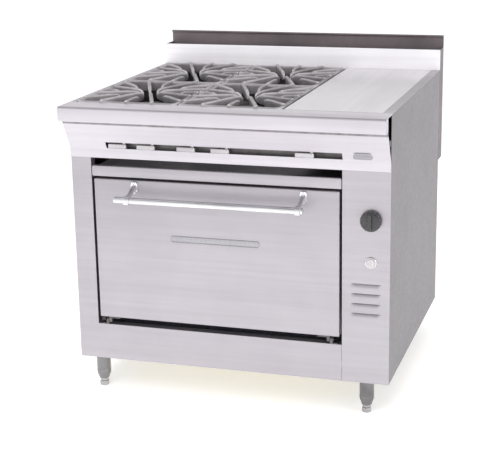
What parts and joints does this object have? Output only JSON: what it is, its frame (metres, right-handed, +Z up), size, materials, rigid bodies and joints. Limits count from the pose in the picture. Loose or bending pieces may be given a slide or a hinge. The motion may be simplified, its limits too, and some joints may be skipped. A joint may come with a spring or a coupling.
{
  "type": "commercial gas range",
  "caption": "Floor-standing gas range with open burners under cast grates, a hot plate, a drop-door oven, lever valves under a sloped front rail and a flue riser.",
  "frame": {"origin": "on the floor, under the centre of the outer box", "axes": "+X to the right as the cook faces the range, +Y to the back, +Z up"},
  "size_m": [0.914, 0.925, 0.956],
  "materials": {
    "stainless_front": "brushed, lightly worn",
    "grey_side": "satin grey paint",
    "plate_steel": "ground and polished steel",
    "cast_iron": "cast, worn on top",
    "burner_iron": "cast, matt",
    "dark_flue": "dark, heat-stained",
    "galvanised": "galvanised",
    "oven_enamel": "speckled enamel",
    "blanket": "mineral wool",
    "chrome": "chromed",
    "leg_steel": "plated steel, dulled",
    "riser_sheet": "bright sheet",
    "black_pipe": "black pipe",
    "brass": "machined brass",
    "lever_metal": "cast and polished",
    "seal": "woven glass cord",
    "knob_black": "moulded phenolic",
    "control_metal": "plain metal",
    "button_plastic": "moulded",
    "plate_trim": "plain satin plate"
  },
  "bodies": {
    "root": {"base_frame": "galvanised", "front_casing": "stainless_front", "control_panel": "stainless_front", "left_side_panel": "grey_side", "right_side_panel": "grey_side", "back_panel": "grey_side", "oven_liner": "oven_enamel", "oven_insulation": "blanket", "oven_deck": "oven_enamel", "oven_burner": "burner_iron", "oven_gas_line": "brass", "rack_guides": "chrome", "top_frame": "galvanised", "front_rail": "stainless_front", "rail_brackets": "galvanised", "rail_badge": "plate_trim", "gas_manifold": "black_pipe", "gas_inlet": "black_pipe", "gas_valves": "brass", "burner_front_left": "burner_iron", "burner_rear_left": "burner_iron", "burner_rear_right": "burner_iron", "burner_front_right": "burner_iron", "plate_burner": "burner_iron", "hot_plate": "plate_steel", "top_trim_left": "stainless_front", "top_trim_right": "stainless_front", "riser_front": "riser_sheet", "riser_back": "dark_flue", "legs": "leg_steel", "thermostat_body": "control_metal", "button_housing": "chrome", "hinge_brackets": "galvanised", "casing_screws": "galvanised"},
    "oven_door": {"door_panel": "stainless_front", "door_liner": "oven_enamel", "door_insulation": "blanket", "door_gasket": "seal", "door_hinges": "galvanised", "handle_bar": "chrome", "handle_brackets": "chrome", "handle_screws": "chrome", "nameplate": "plate_trim"},
    "oven_rack": {"oven_rack": "chrome"},
    "crumb_tray": {"crumb_tray": "stainless_front"},
    "thermostat_knob": {"thermostat_knob": "knob_black"},
    "pilot_button": {"pilot_button": "button_plastic"},
    "valve_lever_1": {"valve_lever_1": "lever_metal"},
    "valve_lever_2": {"valve_lever_2": "lever_metal"},
    "valve_lever_3": {"valve_lever_3": "lever_metal"},
    "valve_lever_4": {"valve_lever_4": "lever_metal"},
    "valve_lever_5": {"valve_lever_5": "lever_metal"},
    "grate_front_left": {"grate_front_left": "cast_iron"},
    "grate_rear_left": {"grate_rear_left": "cast_iron"},
    "grate_rear_right": {"grate_rear_right": "cast_iron"},
    "grate_front_right": {"grate_front_right": "cast_iron"},
    "foot_front_left": {"foot_front_left": "chrome"},
    "foot_front_right": {"foot_front_right": "chrome"},
    "foot_rear_left": {"foot_rear_left": "chrome"},
    "foot_rear_right": {"foot_rear_right": "chrome"}
  },
  "joints": [
    {"name": "oven_door_hinge", "type": "hinge", "parent": "root", "child": "oven_door", "pos_m": [-0.03625, -0.3795, 0.218], "axis": [1, 0, 0], "range_deg": [0, 90]},
    {"name": "oven_rack_slide", "type": "slide", "parent": "root", "child": "oven_rack", "axis": [0, -1, 0], "range_m": [0, 0.028]},
    {"name": "crumb_tray_slide", "type": "slide", "parent": "root", "child": "crumb_tray", "axis": [0, -1, 0], "range_m": [0, 0.6]},
    {"name": "thermostat_knob_turn", "type": "hinge", "parent": "root", "child": "thermostat_knob", "pos_m": [0.405, -0.3875, 0.566], "axis": [0, 1, 0], "range_deg": [0, 270]},
    {"name": "pilot_button_push", "type": "slide", "parent": "root", "child": "pilot_button", "axis": [0, 1, 0], "range_m": [0, 0.004], "stiffness_N_per_m": 500},
    {"name": "valve_lever_1_turn", "type": "hinge", "parent": "root", "child": "valve_lever_1", "pos_m": [-0.2915, -0.395, 0.738], "axis": [0, 0, 1], "range_deg": [0, 90]},
    {"name": "valve_lever_2_turn", "type": "hinge", "parent": "root", "child": "valve_lever_2", "pos_m": [-0.2075, -0.395, 0.738], "axis": [0, 0, 1], "range_deg": [0, 90]},
    {"name": "valve_lever_3_turn", "type": "hinge", "parent": "root", "child": "valve_lever_3", "pos_m": [-0.0905, -0.395, 0.738], "axis": [0, 0, 1], "range_deg": [0, 90]},
    {"name": "valve_lever_4_turn", "type": "hinge", "parent": "root", "child": "valve_lever_4", "pos_m": [0.0075, -0.395, 0.738], "axis": [0, 0, 1], "range_deg": [0, 90]},
    {"name": "valve_lever_5_turn", "type": "hinge", "parent": "root", "child": "valve_lever_5", "pos_m": [0.244, -0.395, 0.738], "axis": [0, 0, 1], "range_deg": [0, 90]},
    {"name": "grate_front_left_lift", "type": "slide", "parent": "root", "child": "grate_front_left", "axis": [0, 0, 1], "range_m": [0, 0.15]},
    {"name": "grate_rear_left_lift", "type": "slide", "parent": "root", "child": "grate_rear_left", "axis": [0, 0, 1], "range_m": [0, 0.15]},
    {"name": "grate_rear_right_lift", "type": "slide", "parent": "root", "child": "grate_rear_right", "axis": [0, 0, 1], "range_m": [0, 0.15]},
    {"name": "grate_front_right_lift", "type": "slide", "parent": "root", "child": "grate_front_right", "axis": [0, 0, 1], "range_m": [0, 0.15]},
    {"name": "foot_front_left_screw", "type": "hinge", "parent": "root", "child": "foot_front_left", "pos_m": [-0.407, -0.3425, 0.02], "axis": [0, 0, 1], "continuous": true},
    {"name": "foot_front_right_screw", "type": "hinge", "parent": "root", "child": "foot_front_right", "pos_m": [0.387, -0.3425, 0.02], "axis": [0, 0, 1], "continuous": true},
    {"name": "foot_rear_left_screw", "type": "hinge", "parent": "root", "child": "foot_rear_left", "pos_m": [-0.407, 0.3395, 0.02], "axis": [0, 0, 1], "continuous": true},
    {"name": "foot_rear_right_screw", "type": "hinge", "parent": "root", "child": "foot_rear_right", "pos_m": [0.387, 0.3395, 0.02], "axis": [0, 0, 1], "continuous": true}
  ]
}
